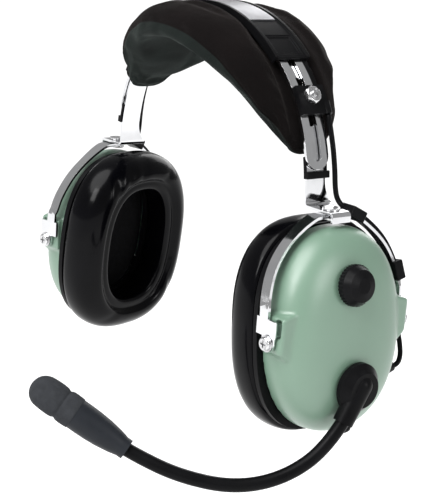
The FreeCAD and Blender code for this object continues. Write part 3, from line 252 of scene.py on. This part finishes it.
# ---------------------------------------------------------------- finishes
class Finish:
    """A node material: mottled colour, uneven gloss, grain, worn edges, and concave corners painted darker
    with dust and painted shade.
    """

    def __init__(self, name, colour, rough):
        self.material = bpy.data.materials.new(name)
        self.material.use_nodes = True
        self.tree = self.material.node_tree
        self.shader = self.tree.nodes["Principled BSDF"]
        self.colour, self.rough = colour, rough
        self.place = self.node("ShaderNodeTexCoord").outputs["Object"]
        self.paint = None
        self.normal = None

    def node(self, kind, **settings):
        thing = self.tree.nodes.new(kind)
        for key, setting in settings.items():
            setattr(thing, key, setting)
        return thing

    def link(self, a, b):
        self.tree.links.new(a, b)

    def set(self, **sockets):
        for key, number in sockets.items():
            self.shader.inputs[key.replace("_", " ")].default_value = number
        return self

    def noise(self, scale, detail=4.0, rough=0.55, stretch=None):
        """A noise's factor; stretch scales the place along each direction first."""
        source = self.place
        if stretch:
            mapping = self.node("ShaderNodeMapping")
            mapping.inputs["Scale"].default_value = stretch
            self.link(source, mapping.inputs["Vector"])
            source = mapping.outputs["Vector"]
        texture = self.node("ShaderNodeTexNoise")
        texture.inputs["Scale"].default_value = scale
        texture.inputs["Detail"].default_value = detail
        texture.inputs["Roughness"].default_value = rough
        self.link(source, texture.inputs["Vector"])
        return texture.outputs["Fac"]

    def ranged(self, source, low, high, from_low=0.3, from_high=0.7):
        span = self.node("ShaderNodeMapRange")
        ends = {"From Min": from_low, "From Max": from_high, "To Min": low, "To Max": high}
        for key, number in ends.items():
            span.inputs[key].default_value = number
        self.link(source, span.inputs["Value"])
        return span.outputs["Result"]

    def mixed(self, factor, a, b):
        """A colour between a and b, each a colour or an output."""
        mix = self.node("ShaderNodeMix", data_type="RGBA")
        self.link(factor, mix.inputs["Factor"])
        for socket, thing in ((mix.inputs[6], a), (mix.inputs[7], b)):
            if isinstance(thing, tuple):
                socket.default_value = (*thing, 1)
            else:
                self.link(thing, socket)
        return mix.outputs[2]

    def mottle(self, scale, amount, detail=5.0):
        """The base colour, darker and lighter in patches."""
        dark = tuple(part * (1 - amount) for part in self.colour)
        light = tuple(min(1.0, part * (1 + amount)) for part in self.colour)
        self.paint = self.mixed(self.ranged(self.noise(scale, detail), 0, 1), dark, light)
        return self

    def worn(self, colour, low=0.52, high=0.6, share=0.7, scale=900):
        """Convex edges show another colour, broken up by a fine noise."""
        pointed = self.ranged(self.node("ShaderNodeNewGeometry").outputs["Pointiness"], 0, share, low, high)
        broken = self.ranged(self.noise(scale, 3), 0.2, 1, 0.35, 0.65)
        both = self.node("ShaderNodeMath", operation="MULTIPLY")
        self.link(pointed, both.inputs[0])
        self.link(broken, both.inputs[1])
        self.paint = self.mixed(both.outputs[0], self.paint, colour)
        return self

    def dust_and_painted_shade(self, colour, low=0.5, high=0.42, share=0.6):
        """Concave corners are painted darker: partly dust, partly painted shade."""
        hollow = self.ranged(self.node("ShaderNodeNewGeometry").outputs["Pointiness"], 0, share, low, high)
        self.paint = self.mixed(hollow, self.paint, colour)
        return self

    def uneven_gloss(self, scale, spread, stretch=None):
        """Roughness that wanders about its value."""
        source = self.noise(scale, 4, stretch=stretch)
        self.link(self.ranged(source, max(0.02, self.rough - spread), self.rough + spread),
                  self.shader.inputs["Roughness"])
        return self

    def bump(self, source, distance, strength=1.0):
        thing = self.node("ShaderNodeBump")
        thing.inputs["Strength"].default_value = strength
        thing.inputs["Distance"].default_value = distance
        self.link(source, thing.inputs["Height"])
        if self.normal:
            self.link(self.normal, thing.inputs["Normal"])
        self.normal = thing.outputs["Normal"]
        return self

    def done(self):
        if self.paint:
            self.link(self.paint, self.shader.inputs["Base Color"])
        self.shader.inputs["Base Color"].default_value = (*self.colour, 1)
        if not self.shader.inputs["Roughness"].is_linked:
            self.shader.inputs["Roughness"].default_value = self.rough
        if self.normal:
            self.link(self.normal, self.shader.inputs["Normal"])
        return self.material


def moulding(name, colour, rough, grain=0.00003, scale=2600):
    """Moulded black plastic or rubber: fine sparked grain, patchy gloss, scuffed edges."""
    finish = Finish(name, colour, rough).set(Specular_IOR_Level=0.06)
    finish.mottle(70, 0.25).uneven_gloss(55, 0.08)
    finish.worn(tuple(part * 1.8 + 0.003 for part in colour), share=0.4)
    finish.bump(finish.noise(scale, 2), grain)
    return finish.done()


def make_finishes():
    made = {}
    chrome = Finish("chrome", (0.78, 0.785, 0.80), 0.09).set(Metallic=1.0)
    # concave corners painted darker: dust and painted shade
    chrome.mottle(120, 0.05).uneven_gloss(160, 0.05).dust_and_painted_shade((0.25, 0.25, 0.27))
    chrome.bump(chrome.noise(60, 3), 0.00010)
    chrome.bump(chrome.noise(5200, 2, stretch=(0.06, 1, 1)), 0.000004)
    made["chrome_steel"] = chrome.done()
    steel = Finish("plated_steel", (0.66, 0.66, 0.67), 0.24).set(Metallic=1.0)
    # concave corners painted darker: dust and painted shade
    steel.mottle(300, 0.12).uneven_gloss(500, 0.10).dust_and_painted_shade((0.09, 0.085, 0.08), share=0.8)
    steel.bump(steel.noise(2600, 3), 0.00001)
    made["fastener_steel"] = steel.done()
    made["black_moulding"] = moulding("black_moulding", (0.0045, 0.0045, 0.005), 0.34)
    shell = Finish("mic_shell", (0.014, 0.016, 0.020), 0.46).set(Specular_IOR_Level=0.16)
    shell.mottle(60, 0.2).uneven_gloss(60, 0.08)
    shell.bump(shell.noise(2600, 3), 0.00003)
    made["mic_shell"] = shell.done()
    made["cable_jacket"] = moulding("cable_jacket", (0.0035, 0.0035, 0.004), 0.32, 0.00002, 1600)
    plate = Finish("blank_plate", (0.42, 0.42, 0.44), 0.33).set(Metallic=0.85)
    plate.mottle(90, 0.10).uneven_gloss(200, 0.08, (0.1, 1, 1)).worn((0.75, 0.75, 0.77))
    plate.bump(plate.noise(4200, 2, stretch=(0.03, 1, 1)), 0.000012)
    made["blank_plate"] = plate.done()
    green = Finish("green_dome", (0.150, 0.246, 0.180), 0.36).set(Coat_Weight=0.6, Coat_Roughness=0.42)
    green.mottle(26, 0.03).uneven_gloss(34, 0.05)
    green.bump(green.noise(900, 3), 0.000014)
    green.bump(green.noise(38, 2), 0.00006)
    made["green_dome"] = green.done()
    gel = Finish("seal_skin", (0.0012, 0.0012, 0.0018), 0.20)
    gel.set(Specular_IOR_Level=0.08, Coat_Weight=0.06, Coat_Roughness=0.06)
    gel.mottle(45, 0.3).uneven_gloss(38, 0.06)
    gel.bump(gel.noise(3000, 2), 0.000008)
    gel.bump(gel.noise(60, 3), 0.00016)
    made["seal_skin"] = gel.done()
    suede = Finish("pad_fabric", (0.0034, 0.0025, 0.0025), 0.95)
    suede.set(Sheen_Weight=0.07, Sheen_Roughness=0.4, Sheen_Tint=(0.52, 0.46, 0.44, 1))
    suede.set(Specular_IOR_Level=0.08)
    suede.mottle(30, 0.45, 9).uneven_gloss(60, 0.04)
    suede.bump(suede.noise(5200, 4), 0.00018)
    suede.bump(suede.noise(130, 5), 0.0005)
    made["pad_fabric"] = suede.done()
    lining = Finish("pad_lining", (0.0048, 0.0072, 0.0064), 0.90)
    lining.set(Sheen_Weight=0.09, Sheen_Roughness=0.4, Sheen_Tint=(0.42, 0.52, 0.48, 1))
    lining.set(Specular_IOR_Level=0.15)
    lining.mottle(55, 0.35, 8).uneven_gloss(60, 0.04)
    lining.bump(lining.noise(2400, 3), 0.00018)
    lining.bump(lining.noise(110, 4), 0.0005)
    made["pad_lining"] = lining.done()
    foam = Finish("grey_foam", (0.0035, 0.0035, 0.004), 0.95).set(Specular_IOR_Level=0.1)
    foam.mottle(420, 0.4, 6)
    foam.bump(foam.noise(1900, 4), 0.0004)
    made["grey_foam"] = foam.done()
    muff = Finish("muff_foam", (0.030, 0.032, 0.036), 0.9).set(Specular_IOR_Level=0.15)
    muff.mottle(300, 0.16, 6)
    muff.bump(muff.noise(2300, 4), 0.00022)
    made["muff_foam"] = muff.done()
    board = Finish("circuit_board", (0.02, 0.11, 0.05), 0.3).set(Coat_Weight=0.4)
    board.mottle(300, 0.3).uneven_gloss(100, 0.1)
    board.bump(board.noise(1400, 1), 0.00003)
    made["circuit_board"] = board.done()
    brass = Finish("brass_parts", (0.60, 0.42, 0.18), 0.28).set(Metallic=1.0)
    brass.mottle(260, 0.2).uneven_gloss(300, 0.1)
    brass.bump(brass.noise(1800, 3), 0.00001)
    made["brass_parts"] = brass.done()
    return made


FINISHES = make_finishes()
SLOT_OF = {entry["node"]: entry["material_slot"] for entry in RECORD["subparts"]}


def wear(thing, slot_name, finish=None):
    """Gives a new piece its finish: the one under its record slot's name, unless another finish is given.
    """
    thing.data.materials.clear()
    thing.data.materials.append(FINISHES[finish or slot_name])


# roundings of the carried-over nodes' edges, in millimetres
ROUNDINGS = {"headband_cover": 0.35, "cover_plate": 0.15, "headband_spring": 0.22, "arm_collar": 0.3,
             "slide_arm": 0.28, "clamp_block": 0.5, "lock_nut": 0.2, "lock_screw": 0.15,
             "cable_guide": 0.2, "swivel_rivet": 0.22, "stirrup": 0.22, "baffle_plate": 0.5,
             "pivot_washers": 0.1, "pivot_screws": 0.12, "crossover_gland": 0.3, "boom_hub": 0.4,
             "main_cord_gland": 0.3, "mic_housing": 0.4}
DOME_VOXEL, DOME_SMOOTHING = 0.6, 20


def dress_nodes():
    """Every carried-over CAD node gets its finish; the listed ones a small rounding on their edges, the
    domes a moulded skin.
    """
    for name, thing in NODES.items():
        thing.data.materials.clear()
        thing.data.materials.append(FINISHES["mic_shell" if name == "mic_housing" else SLOT_OF[name]])
        plain_name = name.removesuffix("_left").removesuffix("_right")
        if plain_name in ROUNDINGS:
            soften_edges(thing, ROUNDINGS[plain_name] * MM)
        elif plain_name == "dome":
            moulded_over(thing, DOME_VOXEL * MM, DOME_SMOOTHING)


# ---------------------------------------------------------------- head pad
PAD_LOW, PAD_HIGH = 15.0, 155.0
PAD_SEAM = 0.22
PAD_TIP_SHARE, PAD_OUTLINE = 0.27, 1.9
PAD_TOP, PAD_TOP_SWELL = 78.4, 5.6
PAD_UNDER, PAD_UNDER_THINNING = 66.2, 5.3
PAD_HALF, PAD_ROUNDING, PAD_CLOSES_AT = 39.6, 2 / 2.6, 0.95
# the sides hang below the middle: how far and how sharply, and how much less so on top
DROOP, DROOP_LESS, DROOP_AT, DROOP_POWER, DROOP_POWER_LESS = 8.3, 4.3, 40.3, 2.35, 0.45
# the channel that the band's cover lies in: its floor's radius and its two walls
CHANNEL_FLOOR, CHANNEL_FRONT, CHANNEL_REAR = 78.1, (-13.6, -10.9), (12.1, 14.8)
# what the cloth is held by: the strip under the cover, and the rows at each end
HELD_FRONT, HELD_REAR, HELD_ROWS = -13.5, 21.5, 6
CLOTH_PRESSURE, CLOTH_FRAMES, CLOTH_CAP = 3.0, 14, 0.0045


def pad_share(place):
    """The pad's width at a place along it, as a share of its width over the crown."""
    outline = (1 - abs(place) ** PAD_OUTLINE) ** (1 / PAD_OUTLINE) if abs(place) < 1 else 0.0
    return max(PAD_TIP_SHARE, outline)


def pad_point(place, turn):
    """A point of the pad's skin as radius, angle, y and height share, from the places along and round."""
    share = pad_share(place)
    swell = max(0.0, (share - PAD_TIP_SHARE) / (1 - PAD_TIP_SHARE)) ** 0.7
    top = PAD_TOP + PAD_TOP_SWELL * swell
    under = PAD_UNDER + (1 - swell) * PAD_UNDER_THINNING
    ending = max(0.0, (abs(place) - PAD_CLOSES_AT) / (1 - PAD_CLOSES_AT))
    closing = math.sqrt(max(0.0, 1 - ending ** 2))
    half = PAD_HALF * share * (0.25 + 0.75 * closing)
    rise = (top - under) / 2 * (0.12 + 0.88 * closing)
    c, s = math.cos(turn), math.sin(turn)
    across = math.copysign(abs(c) ** PAD_ROUNDING, c)
    up = math.copysign(abs(s) ** PAD_ROUNDING, s)
    y = half * across
    radius = (top + under) / 2 + rise * up
    radius -= (DROOP - DROOP_LESS * up) * abs(y / DROOP_AT) ** (DROOP_POWER - DROOP_POWER_LESS * up)
    if up > 0:
        channel = smooth(*CHANNEL_FRONT, y) * (1 - smooth(*CHANNEL_REAR, y))
        radius -= max(0.0, radius - CHANNEL_FLOOR) * channel
    angle = (PAD_LOW + PAD_HIGH) / 2 + (PAD_HIGH - PAD_LOW) / 2 * place
    return radius, angle, y, up


def pad_mesh(rows, count):
    """The pad's skin before it is puffed, and each point's height share."""
    loops, heights = [], []
    for row in range(rows):
        place = math.sin(math.pi / 2 * (2 * row / (rows - 1) - 1))
        loop = []
        for step in range(count):
            radius, angle, y, up = pad_point(place * 0.9995, 2 * math.pi * (step + 0.5) / count)
            loop.append(polar(radius, angle, y))
            heights.append(up)
        loops.append(loop)
    thing = skin("head_pad_cushion", loops)
    return thing, heights


def relax_cloth(thing, pinned, pressure, frames, cap):
    """Puffs a closed skin as cloth from within, holding the pinned points and capping the rest."""
    start = [vertex.co.copy() for vertex in thing.data.vertices]
    group = thing.vertex_groups.new(name="held")
    for index, weight in pinned.items():
        group.add([index], weight, "REPLACE")
    cloth = thing.modifiers.new("Puff", "CLOTH")
    settings = cloth.settings
    settings.quality = 6
    settings.mass = 0.3
    settings.use_pressure = True
    settings.uniform_pressure_force = pressure
    settings.effector_weights.gravity = 0
    settings.vertex_group_mass = "held"
    settings.shrink_min = -0.035
    scene = bpy.context.scene
    for frame_number in range(1, frames + 1):
        scene.frame_set(frame_number)
    graph = bpy.context.evaluated_depsgraph_get()
    puffed = thing.evaluated_get(graph).to_mesh()
    ends = [vertex.co.copy() for vertex in puffed.vertices]
    thing.evaluated_get(graph).to_mesh_clear()
    thing.modifiers.remove(cloth)
    thing.vertex_groups.remove(group)
    scene.frame_set(1)
    for vertex, a, b in zip(thing.data.vertices, start, ends):
        move = b - a
        if move.length > cap:
            move = move.normalized() * cap
        vertex.co = a + move
    thing.data.update()


def build_pad():
    """The head pad: puffed as cloth, then drawn in at its seam, suede above and lining below."""
    rows, count = 84, 84
    pad, heights = pad_mesh(rows, count)
    pinned = {}
    for index, vertex in enumerate(pad.data.vertices):
        row = index // count
        y = vertex.co.y / MM
        held = heights[index] > 0 and HELD_FRONT < y < HELD_REAR
        held = held or row < HELD_ROWS or row > rows - 1 - HELD_ROWS
        pinned[index] = 1.0 if held else 0.0
    relax_cloth(pad, pinned, CLOTH_PRESSURE, CLOTH_FRAMES, CLOTH_CAP)
    normals = [vertex.normal.copy() for vertex in pad.data.vertices]
    for index, vertex in enumerate(pad.data.vertices):
        free = 1.0 - pinned[index]
        spot = vertex.co / MM
        lumps = noise.noise(spot / 22) * 0.7 + noise.noise(spot / 9 + Vector((5, 3, 1))) * 0.35
        gathers = abs(noise.noise(Vector((spot.x / 11, spot.y / 40, spot.z / 11)))) * 1.3
        near_seam = bell(heights[index], PAD_SEAM, 0.45)
        seam = -1.1 * bell(heights[index], PAD_SEAM, 0.11)
        vertex.co += normals[index] * ((lumps - gathers * near_seam) * free + seam) * MM
    pad.data.materials.clear()
    pad.data.materials.append(FINISHES["pad_fabric"])
    pad.data.materials.append(FINISHES["pad_lining"])
    for face in pad.data.polygons:
        mean = sum(heights[index] for index in face.vertices) / len(face.vertices)
        face.material_index = 0 if mean > PAD_SEAM else 1
    finer(pad)
    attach(pad, "headband")
    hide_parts("head_pad")


# ---------------------------------------------------------------- ear seals and foams
SEAL_PROFILE = ((-13.1, 2.4), (-14.0, 1.1), (-16.4, 0.3), (-21.0, 0.0), (-25.5, 0.4), (-29.4, 1.8),
                (-32.4, 4.0), (-34.6, 6.7), (-35.7, 9.2), (-35.9, 11.0), (-35.2, 12.4), (-33.9, 13.4),
                (-33.0, 14.1), (-32.9, 15.0), (-33.3, 16.4), (-33.2, 18.0), (-32.5, 19.2), (-31.0, 19.75),
                (-27.0, 19.7), (-20.0, 19.6), (-13.1, 19.3))
SEAL_HALF_WIDE, SEAL_HALF_HIGH, SEAL_DEEPEST = 42.2, 53.2, 19.8
# each crease: its angle round the seal, its width in degrees, its depth in millimetres
SEAL_CREASES = ((126, 5, 1.5), (112, 4, 1.2), (96, 3.5, 0.9), (-38, 4, 0.9), (62, 4, 0.7), (-118, 5, 0.6))
ROLL_FROM, ROLL_TO = 2, 13.4


def build_seal(cup):
    """The gel seal: a plump outer roll, a valley, and a soft lip round the ear hole."""
    count = 144
    loops = []
    for depth, inset in SEAL_PROFILE:
        share = inset / SEAL_DEEPEST
        power = 2.6 - 0.1 * share
        loop = []
        for back, up in oval(SEAL_HALF_WIDE - inset, SEAL_HALF_HIGH - inset, power, count):
            spot = Vector((depth, back, up))
            around = math.degrees(math.atan2(up, back * 1.25))
            lump = noise.noise(spot / 24 + Vector((9, 0, 4))) * 0.45
            pull = 0.0
            if ROLL_FROM < inset < ROLL_TO:
                across = math.sin(math.pi * (inset - ROLL_FROM) / (ROLL_TO - ROLL_FROM))
                for place, width, deep in SEAL_CREASES:
                    slant = place + (inset - 8) * 1.1
                    pull += deep * bell(around, slant, width) * across
            loop.append(cup.point(depth + pull - lump * 0.4, back, up))
        loops.append(loop)
    seal = skin("ear_seal_cushion_" + cup.side, loops, ring=True)
    wear(seal, "seal_skin")
    finer(seal)
    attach(seal, "cup_" + cup.side)
    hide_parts("ear_seal_" + cup.side)


FOAM_PROFILE = ((-3.7, 1.0), (-5.0, 0.3), (-7.2, 0.4), (-8.4, 1.8), (-9.0, 4.5), (-9.2, 9.0), (-9.3, 15.0),
                (-9.2, 21.0), (-9.1, 26.0))
FOAM_FRONT, FOAM_HALF_WIDE, FOAM_HALF_HIGH = -9.55, 28.0, 38.0


def build_foam(cup):
    """The sound-absorbing foam inside the cup, its face crowned and a little uneven."""
    count = 96
    loops = []
    for depth, inset in FOAM_PROFILE:
        loop = []
        for back, up in oval(FOAM_HALF_WIDE - inset, FOAM_HALF_HIGH - inset, 2.6, count):
            wave = noise.noise(Vector((depth, back, up)) / 8) * 0.35
            loop.append(cup.point(max(depth + wave, FOAM_FRONT), back, up))
        loops.append(loop)
    foam = skin("cup_foam_cushion_" + cup.side, loops)
    wear(foam, "grey_foam")
    finer(foam)
    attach(foam, "cup_" + cup.side)
    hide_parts("cup_foam_" + cup.side)


# ---------------------------------------------------------------- microphone and boom
MIC_NECK = Vector((73.0, -95.7, -178.5)) * MM
MIC_TIP = Vector((38.5, -128.6, -150.6)) * MM
MUFF_PROFILE = ((28.5, 7.44), (28.7, 7.6), (29.6, 7.75), (32.4, 7.9), (34.8, 7.85), (35.8, 7.45),
                (36.3, 6.95), (36.9, 7.4), (37.8, 7.85), (40.5, 8.0), (43.0, 7.95), (45.4, 7.75))
MUFF_ROUND, MUFF_END = 7.8, (53.2, 0.6)


def build_muff():
    """The foam muff over the microphone: a rounded end and a tied waist."""
    profile = list(MUFF_PROFILE)
    shoulder, radius = MUFF_PROFILE[-1]
    for step in range(1, 9):
        turn = math.pi / 2 * step / 9
        profile.append((shoulder + MUFF_ROUND * math.sin(turn), radius * math.cos(turn) ** 0.9))
    profile.append(MUFF_END)
    muff = turned("mic_muff_foam", MIC_NECK, MIC_TIP - MIC_NECK, profile, 72)
    for vertex in muff.data.vertices:
        vertex.co += vertex.normal * (noise.noise(vertex.co / MM / 7) * 0.16 * MM)
    wear(muff, "grey_foam", "muff_foam")
    finer(muff)
    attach(muff, "microphone")
    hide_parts("mic_muff")


BOOM_ROUTE = ((124.6, -6.2, -157.5), (122.6, -15.5, -174.5), (117.2, -35.5, -188.0), (107.0, -57.5, -192.6),
              (92.0, -79.5, -187.6), (74.8, -93.9, -180.0), (71.8, -96.9, -177.5))


def build_boom():
    """The flexible boom, bent between the hub and the microphone."""
    line = curve_line([Vector(point) * MM for point in BOOM_ROUTE])
    tube = swept("boom_flexible_tube", line, BOOM_RADIUS * MM, 32)
    wear(tube, "black_moulding")
    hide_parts("boom_tube")
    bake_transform(tube)


# ---------------------------------------------------------------- crossover cable
ARM_CABLE = ((75.6, 8.7, -26.7), (80.0, 8.7, -38.0), (83.1, 9.0, -50.8), (84.3, 9.5, -61.8),
             (86.2, 9.8, -66.5), (89.8, 10.6, -69.2))
CLAMP_CABLE = ((93.1, 13.9, -70.5), (93.2, 17.4, -72.2))
DROP_CABLE = ((-4.3, 44.5, 13.6), (-4.5, 44.7, 9.0), (-5.4, 45.2, 3.4), (-5.1, 45.6, -2.5),
              (-3.4, 46.0, -8.5), (-1.5, 46.5, -14.5), (-0.3, 46.7, -20.9), (0.0, 44.6, -25.5),
              (0.0, 39.4, -25.5))


def build_cables(cup):
    """The crossover cable's two bends: at the swivel and from the stirrup's clip into the dome."""
    side = cup.side
    arm, fork, body = "arm_" + side, "fork_" + side, "cup_" + side
    mirror = Vector((1, 1, 1)) if side == "left" else Vector((-1, 1, 1))
    straight_out = 0 if side == "left" else math.pi
    swivel = joint_point("stirrup_swivel_" + side)
    swung = Matrix.Rotation(math.atan2(cup.ear_out.y, cup.ear_out.x) - straight_out, 3, "Z")
    upper = [Vector(point) * mirror * MM for point in ARM_CABLE]
    for point in CLAMP_CABLE:
        spot = Vector(point) * mirror * MM
        upper.append(swivel + swung @ (spot - swivel))
    lower = [cup.ear_point(*point) for point in DROP_CABLE]
    for name, points, first, second, start, end in (
            ("crossover_cable_arm_", upper, arm, fork, upper[4], upper[6]),
            ("crossover_cable_drop_", lower, fork, body, lower[0], lower[-3])):
        line = curve_line(points)
        tube = swept(name + "hose_" + side, line, CABLE_RADIUS * MM, 24)
        wear(tube, "cable_jacket")
        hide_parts(name + side)
        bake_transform(tube)


# ---------------------------------------------------------------- studio and camera
FLOOR_DROP, FLOOR_HALF, SKY_STRENGTH = 0.30, 60.0, 0.36
SUN_STRENGTH, SUN_SPREAD, SUN_FROM = 3.3, 50, (-0.05, -0.65, 1.0)
# each lamp: its place from the headset's middle, its size in metres and its power in watts
LAMPS = {"key": ((0.25, -1.3, 0.8), 0.55, 10), "side": ((1.5, 0.35, 0.5), 0.5, 7),
         "back": ((-0.7, 1.2, 0.5), 0.8, 6)}


def hang_light(light, place, aim):
    """Puts a light in the scene, shining from the direction of aim."""
    holder = bpy.data.objects.new(light.name, light)
    holder.location = place
    holder.rotation_euler = (-Vector(aim)).to_track_quat("-Z", "Y").to_euler()
    bpy.context.scene.collection.objects.link(holder)


def studio():
    """A plain pale floor under a soft sky, a soft sun and three weak lamps for the highlights."""
    low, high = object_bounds()
    floor_z = low[2] - FLOOR_DROP
    floor = bpy.data.meshes.new("studio_floor")
    corners = [(x * FLOOR_HALF, y * FLOOR_HALF, floor_z) for x, y in ((-1, -1), (1, -1), (1, 1), (-1, 1))]
    floor.from_pydata(corners, [], [(0, 1, 2, 3)])
    ground = bpy.data.objects.new("studio_floor", floor)
    bpy.context.scene.collection.objects.link(ground)
    pale = Finish("studio_pale", (0.90, 0.90, 0.90), 0.9).set(Specular_IOR_Level=0.1)
    pale.mottle(3, 0.01)
    ground.data.materials.append(pale.done())
    ground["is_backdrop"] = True
    world = bpy.data.worlds.new("studio")
    bpy.context.scene.world = world
    world.use_nodes = True
    world.node_tree.nodes["Background"].inputs["Color"].default_value = (1, 1, 1, 1)
    world.node_tree.nodes["Background"].inputs["Strength"].default_value = SKY_STRENGTH
    sun = bpy.data.lights.new("soft_sun", "SUN")
    sun.energy = SUN_STRENGTH
    sun.angle = math.radians(SUN_SPREAD)
    hang_light(sun, Vector(), SUN_FROM)
    middle = (Vector(low) + Vector(high)) / 2
    for name, (place, size, power) in LAMPS.items():
        lamp = bpy.data.lights.new(name, "AREA")
        lamp.shape = "SQUARE"
        lamp.size = size
        lamp.energy = power
        hang_light(lamp, middle + Vector(place), place)
    bpy.context.scene.view_settings.view_transform = "Standard"


CAMERA_AT, CAMERA_LENS = (511.4, -397.3, 62.3), 90.9
CAMERA_BACK, CAMERA_RIGHT = (0.758, -0.599, 0.258), (0.604, 0.794, 0.067)


def camera():
    """A long lens from the wearer's front left, a little above."""
    back = Vector(CAMERA_BACK).normalized()
    right = Vector(CAMERA_RIGHT)
    right = (right - back * right.dot(back)).normalized()
    up = back.cross(right)
    lens = bpy.data.cameras.new("camera")
    lens.sensor_width = 36
    lens.lens = CAMERA_LENS
    holder = bpy.data.objects.new("camera", lens)
    axes = Matrix((right, up, back)).transposed().to_4x4()
    holder.matrix_world = Matrix.Translation(Vector(CAMERA_AT) * MM) @ axes
    bpy.context.scene.collection.objects.link(holder)
    bpy.context.scene.camera = holder


dress_nodes()
build_pad()
for cup_frame in CUPS.values():
    build_seal(cup_frame)
    build_foam(cup_frame)
    build_cables(cup_frame)
build_muff()
build_boom()
studio()
camera()
